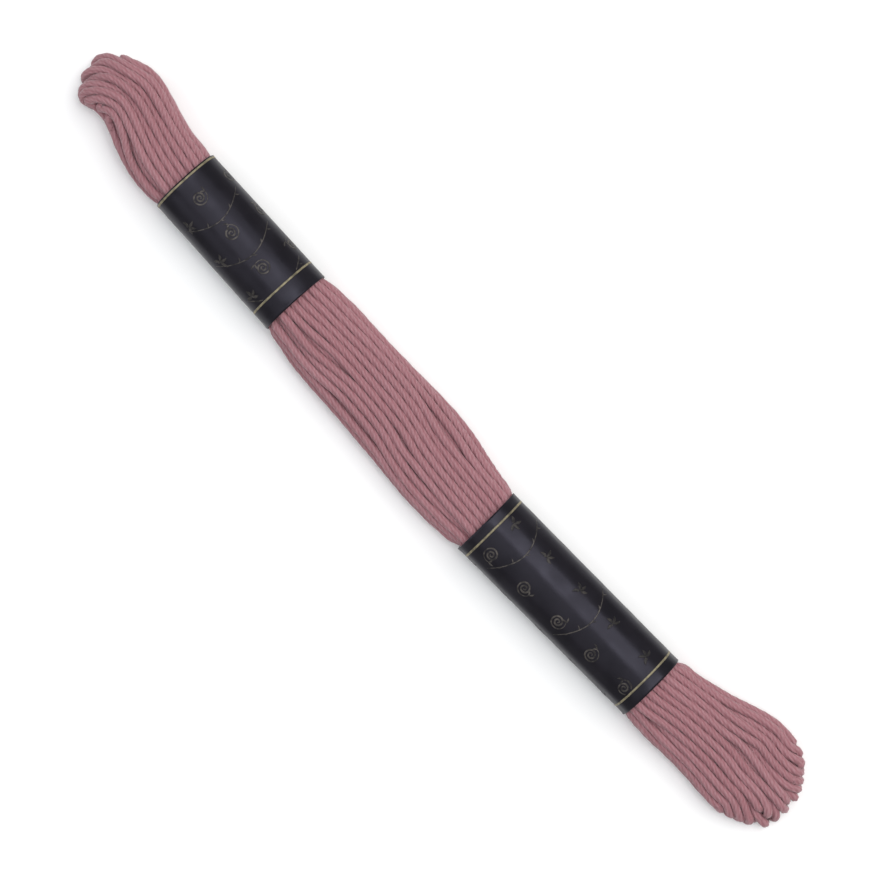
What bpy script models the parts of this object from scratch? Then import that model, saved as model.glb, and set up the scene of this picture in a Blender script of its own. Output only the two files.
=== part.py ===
"""A skein of embroidery floss: one flat wound hank, held by two paper bands.

Metres, +Z up. +X runs along the skein, from its twisted loop to its fanned loop,
+Y runs across it, and the origin is at the bottom centre of the whole skein's box.
The skein lies flat: the undersides of the hank and of both bands are flat, at z = 0.
"""

import math
from typing import NamedTuple

import bmesh
import bpy
from mathutils import Vector

MM = 0.001

# Driving sizes, in millimetres
PAPER_WALL = 1.0          # wall of a paper band's solid
PIECE_GAP = 0.3           # clear space between two pieces
OVAL_POWER = 2.4          # squareness of every section: 2 is an ellipse
SINK = 0.5                # how far a section's oval dips below its flat underside
BUNDLES = 12              # main bundles round the hank
POINTS_PER_BUNDLE = 4
BUNDLE_VALLEY = 0.5       # depth of the valley between two bundles
STATION_STEP = 3.0        # widest spacing of the hank's sections along the skein
BAND_STEPS = 4            # stretches of hank inside a band
BAND_POINTS = 40          # points round a band
OUTLINE_POINTS = 360      # fineness of the oval that the bundles are set out on
SHARP_ANGLE = 50.0        # edges that turn more than this stay sharp, in degrees


class Section(NamedTuple):
    """The hank cut across at one station, in millimetres and degrees."""

    x: float              # station along the skein
    low: float            # its edge on the -Y side
    high: float           # its edge on the +Y side
    base: float           # height of its underside
    top: float            # height of its top
    turn: float           # how far the main bundles have turned about the skein


class Band(NamedTuple):
    """A paper band, by its outside, in millimetres and degrees."""

    name: str
    x: float              # its middle along the skein
    y: float              # its middle across the skein
    length: float
    start_width: float    # across its -X mouth
    end_width: float      # across its +X mouth
    height: float
    swing: float          # its axis's angle from +X towards +Y
    turn: float           # how far the bundles inside have turned


UPPER_BAND = Band("band_upper", -43.4, -2.4, 25.5, 11.7, 12.0, 7.8, 0.2, 0.0)
LOWER_BAND = Band("band_lower", 32.1, -2.2, 36.2, 12.1, 11.9, 7.8, 2.8, 8.0)

TWISTED_LOOP = (
    #         x      low   high  base  top   turn
    Section(-80.0,  -4.2,  -0.2, 1.8,  4.4, 84.0),
    Section(-79.3,  -5.6,   1.2, 0.9,  5.3, 72.0),
    Section(-77.9,  -7.0,   3.0, 0.2,  6.2, 54.0),
    Section(-75.8,  -6.5,   4.2, 0.0,  6.9, 36.0),
    Section(-73.2,  -5.4,   5.3, 0.0,  7.2, 22.0),
    Section(-70.0,  -6.0,   5.4, 0.0,  7.2, 12.0),
    Section(-66.0,  -7.5,   4.5, 0.0,  7.1,  6.0),
    Section(-61.0,  -8.6,   3.5, 0.0,  7.1,  2.0),
    Section(-57.4,  -8.5,   3.5, 0.0,  7.4,  0.0),
)
MIDDLE = (
    Section(-29.4,  -8.6,   3.9, 0.0,  7.2,  1.0),
    Section(-24.0,  -9.5,   4.4, 0.0,  6.3,  3.0),
    Section(-14.0,  -9.6,   4.5, 0.0,  5.8,  7.0),
    Section( -5.0,  -9.8,   4.8, 0.0,  5.6, 11.0),
    Section(  1.5, -10.1,   4.7, 0.0,  5.6, 12.0),
    Section(  7.5, -10.0,   3.8, 0.0,  6.0, 10.0),
    Section( 12.4,  -9.5,   3.1, 0.0,  7.0,  8.0),
)
FANNED_LOOP = (
    Section( 51.8,  -7.2,   5.0, 0.0,  7.2,  8.0),
    Section( 55.6,  -7.3,   6.0, 0.0,  6.3,  7.0),
    Section( 61.0,  -6.8,   7.8, 0.0,  5.7,  7.0),
    Section( 66.2,  -6.8,   9.7, 0.0,  5.2, 10.0),
    Section( 71.0,  -6.8,  10.0, 0.0,  5.0, 17.0),
    Section( 75.8,  -5.0,   7.6, 0.1,  4.7, 30.0),
    Section( 77.6,  -3.5,   5.7, 0.6,  4.3, 38.0),
    Section( 78.9,  -2.1,   3.9, 1.0,  3.9, 46.0),
    Section( 80.0,  -0.8,   1.6, 1.6,  3.4, 54.0),
)


def smooth_between(rows, i, share):
    """The Section a share of the way from row i to the next, on a smooth curve."""
    a, b = rows[i], rows[i + 1]
    before, after = rows[max(0, i - 1)], rows[min(len(rows) - 1, i + 2)]
    span = b.x - a.x
    values = [a.x + span * share]
    for column in range(1, len(a)):
        slope_a = (b[column] - before[column]) / (b.x - before.x) * span
        slope_b = (after[column] - a[column]) / (after.x - a.x) * span
        values.append(
            (2 * share**3 - 3 * share**2 + 1) * a[column]
            + (share**3 - 2 * share**2 + share) * slope_a
            + (3 * share**2 - 2 * share**3) * b[column]
            + (share**3 - share**2) * slope_b
        )
    return Section(*values)


def oval(half_width, base, top, points):
    """Points (y, z) round an oval, counter-clockwise, before its underside is flat."""
    half_height = (top - base + SINK) / 2
    middle = top - half_height
    ring = []
    for i in range(points):
        angle = 2 * math.pi * i / points
        c, s = math.cos(angle), math.sin(angle)
        y = half_width * math.copysign(abs(c) ** (2 / OVAL_POWER), c)
        z = middle + half_height * math.copysign(abs(s) ** (2 / OVAL_POWER), s)
        ring.append(Vector((y, z)))
    return ring


def flattened(ring, base):
    """The same points with all below base raised to it."""
    return [Vector((p.x, max(p.y, base))) for p in ring]


def bundled_oval(half_width, base, top, turn):
    """A flat-bottomed oval of equally wide bundles, slid round it by turn degrees."""
    outline = oval(half_width, base, top, OUTLINE_POINTS)
    sides = [b - a for a, b in zip(outline, outline[1:] + outline[:1])]
    girth = sum(side.length for side in sides)
    count = BUNDLES * POINTS_PER_BUNDLE
    ring = []
    for i in range(count):
        reach = girth * ((turn / 360 + i / count) % 1.0)
        k = 0
        while reach > sides[k].length:
            reach -= sides[k].length
            k += 1
        along = sides[k].normalized()
        inward = Vector((-along.y, along.x))
        crown = abs(math.sin(math.pi * i / POINTS_PER_BUNDLE))
        ring.append(outline[k] + along * reach + inward * BUNDLE_VALLEY * (1 - crown))
    return flattened(ring, base)


def placed(ring, x, y, swing=0.0):
    """A section's points in metres, at (x, y), its plane turned about Z by swing."""
    c, s = math.cos(math.radians(swing)), math.sin(math.radians(swing))
    return [Vector((x - p.x * s, y + p.x * c, p.y)) * MM for p in ring]


def hank_on(rows):
    """The hank's rings along one free stretch, through every row of its table."""
    rings = []
    for i in range(len(rows) - 1):
        steps = math.ceil((rows[i + 1].x - rows[i].x) / STATION_STEP)
        cuts = [smooth_between(rows, i, k / steps) for k in range(steps)]
        if i == len(rows) - 2:
            cuts.append(rows[-1])
        for cut in cuts:
            half_width, base = (cut.high - cut.low) / 2, max(cut.base, 0.0)
            ring = bundled_oval(half_width, base, cut.top, cut.turn)
            rings.append(placed(ring, cut.x, (cut.high + cut.low) / 2))
    return rings


def hank_inside(band):
    """The hank's rings through a band, a clear gap inside its wall and its mouths."""
    inset = PAPER_WALL + PIECE_GAP
    half_run = band.length / 2 + PIECE_GAP
    c, s = math.cos(math.radians(band.swing)), math.sin(math.radians(band.swing))
    rings = []
    for k in range(BAND_STEPS + 1):
        share = k / BAND_STEPS
        run = (2 * share - 1) * half_run
        width = band.start_width + (band.end_width - band.start_width) * share
        ring = bundled_oval(width / 2 - inset, inset, band.height - inset, band.turn)
        rings.append(placed(ring, band.x + run * c, band.y + run * s, band.swing))
    return rings


def skin(bm, rings):
    """Joins each ring of points to the next with faces, and returns the rings' corners."""
    corners = [[bm.verts.new(p) for p in ring] for ring in rings]
    count = len(corners[0])
    for near, far in zip(corners, corners[1:]):
        for i in range(count):
            j = (i + 1) % count
            bm.faces.new((near[i], near[j], far[j], far[i]))
    return corners


def finish(name, colour, roughness):
    """A Principled material, from a colour as it is seen, 0 to 255 for each part."""
    material = bpy.data.materials.new(name)
    material.use_nodes = True
    shader = material.node_tree.nodes["Principled BSDF"]
    linear = [(part / 255) ** 2.2 for part in colour]
    shader.inputs["Base Color"].default_value = (*linear, 1.0)
    shader.inputs["Roughness"].default_value = roughness
    shader.inputs["Metallic"].default_value = 0.0
    material.diffuse_color = (*linear, 1.0)
    return material


def new_piece(name, bm, material, parent):
    """A finished object from a bmesh, faces outward, smooth but for its sharp edges."""
    bmesh.ops.recalc_face_normals(bm, faces=bm.faces)
    mesh = bpy.data.meshes.new(name)
    bm.to_mesh(mesh)
    bm.free()
    mesh.shade_smooth()
    mesh.set_sharp_from_angle(angle=math.radians(SHARP_ANGLE))
    mesh.materials.append(material)
    piece = bpy.data.objects.new(name, mesh)
    bpy.context.scene.collection.objects.link(piece)
    piece.parent = parent
    return piece


def make_hank(material, parent):
    """The wound floss: twisted loop, waist, middle, waist and fanned loop in one."""
    rings = [
        *hank_on(TWISTED_LOOP),
        *hank_inside(UPPER_BAND),
        *hank_on(MIDDLE),
        *hank_inside(LOWER_BAND),
        *hank_on(FANNED_LOOP),
    ]
    bm = bmesh.new()
    corners = skin(bm, rings)
    bm.faces.new(corners[0])
    bm.faces.new(corners[-1])
    return new_piece("hank", bm, material, parent)


def make_band(band, material, parent):
    """A flat-bottomed paper sleeve, open at both mouths."""
    mouths = (
        (-band.length / 2, band.start_width / 2),
        (band.length / 2, band.end_width / 2),
    )
    outside, inside = [], []
    for x, half_width in mouths:
        outer = flattened(oval(half_width, 0.0, band.height, BAND_POINTS), 0.0)
        inner = flattened(
            oval(half_width - PAPER_WALL, PAPER_WALL, band.height - PAPER_WALL, BAND_POINTS),
            PAPER_WALL,
        )
        outside.append(placed(outer, x, 0.0))
        inside.append(placed(inner, x, 0.0))
    bm = bmesh.new()
    skin(bm, [*outside, *reversed(inside), outside[0]])
    bmesh.ops.remove_doubles(bm, verts=bm.verts, dist=0.01 * MM)
    piece = new_piece(band.name, bm, material, parent)
    piece.location = Vector((band.x, band.y, 0.0)) * MM
    piece.rotation_euler.z = math.radians(band.swing)
    return piece


def centre_on_origin(parent, pieces):
    """Moves the skein so that the middle of its box stands over the origin."""
    bpy.context.view_layer.update()
    points = [piece.matrix_world @ v.co for piece in pieces for v in piece.data.vertices]
    for axis in (0, 1):
        values = [p[axis] for p in points]
        parent.location[axis] = -(min(values) + max(values)) / 2


def main():
    """Clears the scene and makes the skein."""
    for old in list(bpy.data.objects):
        bpy.data.objects.remove(old)
    skein = bpy.data.objects.new("skein", None)
    bpy.context.scene.collection.objects.link(skein)
    floss = finish("mauve_floss", (173, 128, 138), 0.85)
    paper = finish("black_paper", (34, 32, 38), 0.45)
    pieces = [
        make_hank(floss, skein),
        make_band(UPPER_BAND, paper, skein),
        make_band(LOWER_BAND, paper, skein),
    ]
    centre_on_origin(skein, pieces)


main()
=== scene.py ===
"""Looks of a skein of embroidery floss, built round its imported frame.

One length of six-strand cotton floss is wound turn by turn into a flat hank, settled
until its turns lie on each other, and held by two black paper bands with a gold print.
The frame is in metres. Inside this script places along, across and up are in
millimetres in the frame's own axes, and they are turned to metres when a mesh is made.
"""

import logging
import math
from collections.abc import Sequence
from dataclasses import dataclass, field
from enum import Enum
from typing import NamedTuple

import bmesh
import bpy
import numpy as np
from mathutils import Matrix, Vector


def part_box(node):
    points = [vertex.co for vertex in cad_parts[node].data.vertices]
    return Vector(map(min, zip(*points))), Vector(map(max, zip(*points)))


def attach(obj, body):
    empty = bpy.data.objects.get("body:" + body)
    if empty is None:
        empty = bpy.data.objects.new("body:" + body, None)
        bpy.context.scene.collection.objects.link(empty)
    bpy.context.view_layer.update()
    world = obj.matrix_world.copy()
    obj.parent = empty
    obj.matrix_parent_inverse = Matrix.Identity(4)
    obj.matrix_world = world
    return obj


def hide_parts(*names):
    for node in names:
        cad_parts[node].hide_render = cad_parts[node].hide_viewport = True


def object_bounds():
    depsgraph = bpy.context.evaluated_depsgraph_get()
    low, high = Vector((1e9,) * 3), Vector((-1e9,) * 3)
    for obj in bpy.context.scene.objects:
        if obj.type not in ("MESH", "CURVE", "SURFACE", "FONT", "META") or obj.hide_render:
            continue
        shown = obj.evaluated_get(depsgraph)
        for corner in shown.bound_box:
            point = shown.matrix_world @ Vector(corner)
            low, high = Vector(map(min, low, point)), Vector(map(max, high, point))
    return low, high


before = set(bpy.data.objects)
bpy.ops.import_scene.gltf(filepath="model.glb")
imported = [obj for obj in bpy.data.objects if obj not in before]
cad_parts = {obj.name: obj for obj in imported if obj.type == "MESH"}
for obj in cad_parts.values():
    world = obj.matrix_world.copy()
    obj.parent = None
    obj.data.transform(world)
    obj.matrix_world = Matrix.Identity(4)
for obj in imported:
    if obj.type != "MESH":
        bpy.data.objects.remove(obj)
cad_low, cad_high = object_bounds()

MM = 0.001
BODY = "root"
HANK_NODE = "hank"
BAND_NODES = ("band_upper", "band_lower")
SECTION_POWER = 2.4    # squareness of the hank's and the bands' ovals, where 2 is an ellipse
SINK = 0.5             # how far each oval dips below its flat underside
TINY = 1e-9            # keeps a length that is divided by from being zero

log = logging.getLogger("skein")


class Slot(Enum):
    """The record's material slots."""

    FLOSS = "floss"
    PAPER = "band_paper"
    GOLD = "band_gold"


class Lean(Enum):
    """Which way plied yarn leans as it turns away from the eye."""

    LEFT = -1.0
    RIGHT = 1.0


class Ink(Enum):
    """The print's inks, by their places among a print's materials."""

    BORDER = 0
    SCROLL = 1
    LEAF = 2


class Taper(Enum):
    """How a printed stroke's width runs along it."""

    EVEN = "even"
    ENDS = "ends"
    LEAF = "leaf"


# ------------------------------------------------------------------ small helpers


def smooth_step(value: np.ndarray) -> np.ndarray:
    """Eases 0..1 with no corner at either end."""
    held = np.clip(value, 0.0, 1.0)
    return held * held * (3.0 - 2.0 * held)


def signed_power(value: np.ndarray, power: float) -> np.ndarray:
    """Raises the size of a value to a power and keeps its sign."""
    return np.sign(value) * np.abs(value) ** power


def through_rows(at: np.ndarray, rows: np.ndarray, where: np.ndarray) -> np.ndarray:
    """Reads a smooth curve through rows, straight beyond the first and last of them.

    Args:
        at: the rising place of each row.
        rows: one value or one row of values at each place.
        where: the places to read.

    Returns:
        The values there.
    """
    i = np.clip(np.searchsorted(at, where, "right") - 1, 0, len(at) - 2)
    before, after = np.maximum(i - 1, 0), np.minimum(i + 2, len(at) - 1)
    wide = (1,) * (rows.ndim - 1)
    gap = (at[i + 1] - at[i]).reshape(-1, *wide)
    t = (where - at[i]).reshape(-1, *wide) / gap
    slope_in = (rows[i + 1] - rows[before]) * gap / (at[i + 1] - at[before]).reshape(-1, *wide)
    slope_out = (rows[after] - rows[i]) * gap / (at[after] - at[i]).reshape(-1, *wide)
    curve = (
        (2 * t**3 - 3 * t**2 + 1) * rows[i]
        + (t**3 - 2 * t**2 + t) * slope_in
        + (3 * t**2 - 2 * t**3) * rows[i + 1]
        + (t**3 - t**2) * slope_out
    )
    first = (rows[1] - rows[0]) / (at[1] - at[0])
    last = (rows[-1] - rows[-2]) / (at[-1] - at[-2])
    ahead = (where - at[0]).reshape(-1, *wide)
    beyond = (where - at[-1]).reshape(-1, *wide)
    curve = np.where(ahead < 0, rows[0] + first * ahead, curve)
    return np.where(beyond > 0, rows[-1] + last * beyond, curve)


def lengths_along(points: np.ndarray) -> np.ndarray:
    """How far along a line of points each one lies."""
    steps = np.linalg.norm(np.diff(points, axis=0), axis=1)
    return np.concatenate(([0.0], np.cumsum(steps)))


def evenly(points: np.ndarray, spacing: float) -> np.ndarray:
    """Places points at one spacing on the smooth line through others.

    Args:
        points: the line's points in order.
        spacing: the distance wanted between two points.

    Returns:
        The new points.
    """
    along = lengths_along(points)
    count = int(round(along[-1] / spacing))
    return through_rows(along, points, np.linspace(0.0, along[-1], count + 1))


def closer_at_bends(points: np.ndarray, spacing: float, share: float) -> np.ndarray:
    """Places points along the smooth line through others, closer together where it bends.

    Args:
        points: the line's points in order.
        spacing: the distance between two points where the line is straight.
        share: the bend's radius at which the points lie twice as close.

    Returns:
        The new points.
    """
    fine_step = 0.2
    fine = evenly(points, fine_step)
    way = np.gradient(fine, axis=0)
    way /= np.linalg.norm(way, axis=1)[:, None]
    bend = np.linalg.norm(np.gradient(way, axis=0), axis=1) / fine_step
    progress = np.concatenate(([0.0], np.cumsum(fine_step * (1.0 + share * bend[1:]))))
    count = int(round(progress[-1] / spacing))
    return through_rows(progress, fine, np.linspace(0.0, progress[-1], count + 1))


def drift(where: np.ndarray, wavelength: float, chance: np.random.Generator) -> np.ndarray:
    """A slow, uneven wave about zero.

    Args:
        where: places along a line.
        wavelength: the usual length of one wave.
        chance: the seeded source of its phases.

    Returns:
        The wave's height at each place, about one at most.
    """
    usual_size, octaves = 0.6, (0.6, 1.1, 1.6)
    total = np.zeros_like(where, dtype=float)
    for octave in octaves:
        phase, size = chance.random(), chance.normal(0.0, usual_size)
        total += size * np.sin(2 * math.pi * (where / (wavelength * octave) + phase))
    return total


def eased(rows: np.ndarray) -> np.ndarray:
    """Softens each row by the ones before and after it, and keeps the ends."""
    inner = (rows[:-2] + 2 * rows[1:-1] + rows[2:]) / 4
    return np.concatenate((rows[:1], inner, rows[-1:]))


def new_object(name: str, data: bpy.types.ID) -> bpy.types.Object:
    """Puts an object with its data in the scene."""
    made = bpy.data.objects.new(name, data)
    bpy.context.scene.collection.objects.link(made)
    return made


def drawn_mesh(name: str, curve: bpy.types.Curve) -> bpy.types.Mesh:
    """Turns a curve, with its bevel, into a mesh."""
    drawn = new_object(name + "_path", curve)
    seen = drawn.evaluated_get(bpy.context.evaluated_depsgraph_get())
    mesh = bpy.data.meshes.new_from_object(seen)
    mesh.name = name
    bpy.data.objects.remove(drawn)
    return mesh


def weld(mesh: bpy.types.Mesh) -> None:
    """Merges a mesh's doubled corners and turns its faces outward."""
    reach = 1e-7
    shape = bmesh.new()
    shape.from_mesh(mesh)
    bmesh.ops.remove_doubles(shape, verts=shape.verts, dist=reach)
    bmesh.ops.recalc_face_normals(shape, faces=shape.faces)
    shape.to_mesh(mesh)
    shape.free()


def fix_to_frame(piece: bpy.types.Object) -> None:
    """Puts a finished piece on the skein's body."""
    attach(piece, BODY)


# ------------------------------------------------------------ the room for the floss


@dataclass
class SkeinOutline:
    """The room that the floss fills, read from the frame's own solids.

    Attributes:
        step: spacing of the stations along the skein.
        paper_room: how far inside a band's outside the floss stays.
        neck: how far the bands' outlines reach over the gap at their mouths.
        smoothed: how many stations are smoothed together.
        corner: how much further than the solid the fan's +Y corner stands out.
        corner_at: where along the skein that corner is.
        corner_reach: how far along the skein it reaches each way.
        x: places of the stations along the skein.
        low: the room's -Y edge at each station.
        high: its +Y edge.
        base: its underside.
        top: its top.
    """

    step: float = 0.5
    paper_room: float = 0.5
    neck: float = 1.5
    smoothed: int = 5
    corner: float = 0.7
    corner_at: float = 74.2
    corner_reach: float = 2.4
    x: np.ndarray = field(init=False)
    low: np.ndarray = field(init=False)
    high: np.ndarray = field(init=False)
    base: np.ndarray = field(init=False)
    top: np.ndarray = field(init=False)

    def __post_init__(self) -> None:
        """Cuts the frame's solids at every station."""
        start, end = (corner.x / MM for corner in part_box(HANK_NODE))
        count = int(round((end - start) / self.step)) + 1
        inside = 0.02
        self.x = np.linspace(start + inside, end - inside, count)
        hank = self._cuts(HANK_NODE)
        bands = [self._whole_cuts(name) for name in BAND_NODES]
        edges = []
        for column, pick in ((0, np.fmin), (1, np.fmax), (2, np.fmin), (3, np.fmax)):
            edge = hank[:, column]
            inward = -self.paper_room if pick is np.fmax else self.paper_room
            rooms = [band[:, column] + inward for band in bands]
            for room in rooms:
                edge = pick(edge, room)
            edges.append(self._filled(edge, pick, rooms))
        self.low, self.high, self.base, self.top = edges
        self.high += self.corner * np.exp(-(((self.x - self.corner_at) / self.corner_reach) ** 2))

    def _cuts(self, name: str) -> np.ndarray:
        """Finds how wide and how high a node is at each station.

        Args:
            name: the node.

        Returns:
            Rows of (y low, y high, z low, z high), NaN where the node isn't.
        """
        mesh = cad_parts[name].data
        points = np.array([v.co for v in mesh.vertices]) / MM
        edges = np.array([e.vertices[:] for e in mesh.edges])
        a, b = points[edges[:, 0]], points[edges[:, 1]]
        cuts = np.full((len(self.x), 4), np.nan)
        for i, x in enumerate(self.x):
            crossing = (a[:, 0] - x) * (b[:, 0] - x) < 0
            if crossing.any():
                share = (x - a[crossing, 0]) / (b[crossing, 0] - a[crossing, 0])
                cut = a[crossing] + share[:, None] * (b[crossing] - a[crossing])
                cuts[i] = (*np.sort(cut[:, 1])[[0, -1]], *np.sort(cut[:, 2])[[0, -1]])
        return cuts

    def _whole_cuts(self, name: str) -> np.ndarray:
        """Finds a band's sections, each one whole and carried just past its slanted mouths.

        Args:
            name: the band's node.

        Returns:
            Rows like those of the plain cuts.
        """
        cuts = self._cuts(name)
        x = np.array([v.co.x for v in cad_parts[name].data.vertices]) / MM
        whole = np.flatnonzero((self.x > x[x < x.mean()].max()) & (self.x < x[x > x.mean()].min()))
        carried = np.flatnonzero((self.x > x.min() - self.step) & (self.x < x.max() + self.step))
        cuts[carried] = cuts[np.clip(carried, whole[0], whole[-1])]
        return cuts

    def _filled(
        self, edge: np.ndarray, pick: np.ufunc, rooms: Sequence[np.ndarray]
    ) -> np.ndarray:
        """Closes the narrow necks outside the bands' mouths and smooths the rest.

        Args:
            edge: one edge of the sections.
            pick: np.fmin for a low edge and np.fmax for a high one.
            rooms: the same edge of the room in each band, NaN where the band isn't.

        Returns:
            The smoothed edge, which stays in a band's room to just past its mouths.
        """
        narrower = np.fmax if pick is np.fmin else np.fmin
        reach = int(round(self.neck / self.step))
        in_bands = np.any([~np.isnan(room) for room in rooms], axis=0)
        near = np.convolve(in_bands, np.ones(2 * reach + 1), mode="same") > 0
        wide = edge.copy()
        for shift in range(-reach, reach + 1):
            wide[near] = pick(wide[near], np.roll(edge, shift)[near])
        for room in rooms:
            wide = np.where(np.isnan(room), wide, room)
        count = self.smoothed
        padded = np.pad(wide, count // 2, mode="edge")
        smooth = np.convolve(padded, np.ones(count) / count, mode="valid")
        for room in rooms:
            smooth = narrower(smooth, room)
        return smooth

    def at(self, x: np.ndarray) -> tuple[np.ndarray, ...]:
        """Reads the sections' centres and half sizes.

        Args:
            x: stations along the skein.

        Returns:
            Centre y, centre z, half width, half height and base at each station.
        """
        low, high = np.interp(x, self.x, self.low), np.interp(x, self.x, self.high)
        base, top = np.interp(x, self.x, self.base), np.interp(x, self.x, self.top)
        half_height = (top - base + SINK) / 2
        return (low + high) / 2, top - half_height, (high - low) / 2, half_height, base

    def share(self, points: np.ndarray, inset: float) -> np.ndarray:
        """Says how near the outline points are: 1 is on it, less is inside.

        Args:
            points: rows of x, y and z.
            inset: how far inside the outline the limit lies.

        Returns:
            One number for each point.
        """
        smallest = 0.3
        y, z, half_width, half_height, _ = self.at(points[:, 0])
        across = np.abs(points[:, 1] - y) / np.maximum(half_width - inset, smallest)
        up = np.abs(points[:, 2] - z) / np.maximum(half_height - inset, smallest)
        return (across**SECTION_POWER + up**SECTION_POWER) ** (1 / SECTION_POWER)


class Station(NamedTuple):
    """The wound bundle cut square across its own middle line."""

    x: float
    y: float
    half_width: float
    base: float
    top: float
    turn: float      # degrees that the turns have gone round the middle line


# The -X loop bends towards -Y and twists, and its fold slants across it.
TWISTED_LOOP = (
    Station(-78.3, -3.3, 3.5, 0.2, 6.2, 22.0),
    Station(-77.0, -2.0, 4.1, 0.0, 6.8, 26.0),
    Station(-75.0, -0.9, 4.8, 0.0, 7.2, 28.0),
    Station(-72.0, -0.4, 5.3, 0.0, 7.3, 27.0),
    Station(-68.0, -0.8, 5.8, 0.0, 7.2, 20.0),
    Station(-62.0, -2.2, 6.0, 0.0, 7.1, 8.0),
    Station(-56.0, -2.4, 5.9, 0.1, 7.6, 0.0),
)
# The +X loop opens out like a fan, and its turns end in steps.
FANNED_LOOP = (
    Station(68.0, 1.9, 8.5, 0.0, 5.2, 6.0),
    Station(72.0, 2.1, 8.2, 0.0, 5.1, 4.0),
    Station(75.0, 2.1, 7.2, 0.0, 5.0, 2.0),
    Station(78.0, 2.0, 5.6, 0.0, 4.8, 0.0),
)
# Between the loops only the turning is given: place along the skein, then degrees.
MIDDLE_TURNS = (
    (-52.0, 0.0), (-32.0, 1.0), (-22.0, 12.0), (-13.0, 26.0), (-4.0, 13.0), (8.0, 8.0),
    (16.0, 5.0), (40.0, 0.0), (50.0, 0.0), (60.0, 6.0), (66.0, 8.0),
)


@dataclass
class Bundle:
    """The middle line of the wound floss, and where its turns lie about it.

    Attributes:
        outline: the room that the floss fills.
        inset: how far inside the outline the middle of a turn stays.
        middle_step: spacing of the stations between the loops.
        along: how far along the middle line each station lies.
        rows: the stations, one row each.
    """

    outline: SkeinOutline
    inset: float
    middle_step: float = 4.0
    along: np.ndarray = field(init=False)
    rows: np.ndarray = field(init=False)

    def __post_init__(self) -> None:
        """Joins the loops' stations with those of the outline between them."""
        x = np.arange(TWISTED_LOOP[-1].x + self.middle_step, FANNED_LOOP[0].x, self.middle_step)
        y, z, half_width, half_height, base = self.outline.at(x)
        turns = np.array(MIDDLE_TURNS)
        turn = np.interp(x, turns[:, 0], turns[:, 1])
        middle = np.stack((x, y, half_width, base, z + half_height, turn), axis=1)
        self.rows = np.concatenate((TWISTED_LOOP, middle, FANNED_LOOP))
        self.along = lengths_along(self.rows[:, :2])

    @property
    def length(self) -> float:
        """Length of the middle line."""
        return float(self.along[-1])

    def place(self, s: np.ndarray, across: np.ndarray, up: np.ndarray) -> np.ndarray:
        """Finds points of the bundle from their places within its section.

        Args:
            s: places along the middle line, which may lie beyond its ends.
            across: -1 on the section's -Y edge and 1 on its +Y edge.
            up: -1 at the section's underside and 1 at its top.

        Returns:
            Rows of x, y and z.
        """
        smallest, nudge = 0.2, 0.05
        line = self.rows[:, :2]
        middle, ahead, behind = (
            through_rows(self.along, line, s + shift) for shift in (0.0, nudge, -nudge)
        )
        heading = ahead - behind
        heading /= np.linalg.norm(heading, axis=1)[:, None]
        held = through_rows(self.along, self.rows, np.clip(s, 0.0, self.length))
        half_width, base, top = held[:, 2], held[:, 3], held[:, 4]
        half_height = (top - base + SINK) / 2
        turn = np.radians(held[:, 5])
        y = across * np.cos(turn) + up * np.sin(turn)
        z = up * np.cos(turn) - across * np.sin(turn)
        radius = np.hypot(y, z) + TINY
        squared = (np.abs(y) ** SECTION_POWER + np.abs(z) ** SECTION_POWER) ** (1 / SECTION_POWER)
        fit = np.minimum(radius, 1.0) / (squared + TINY)
        side = np.maximum(half_width - self.inset, smallest) * y * fit
        height = top - half_height + np.maximum(half_height - self.inset, smallest) * z * fit
        return np.stack(
            (
                middle[:, 0] - heading[:, 1] * side,
                middle[:, 1] + heading[:, 0] * side,
                np.maximum(height, base + self.inset),
            ),
            axis=1,
        )


# ---------------------------------------------------------------- winding and settling


class Lane(NamedTuple):
    """Where one turn of floss starts within the bundle's section."""

    across: float
    up: float


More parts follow.
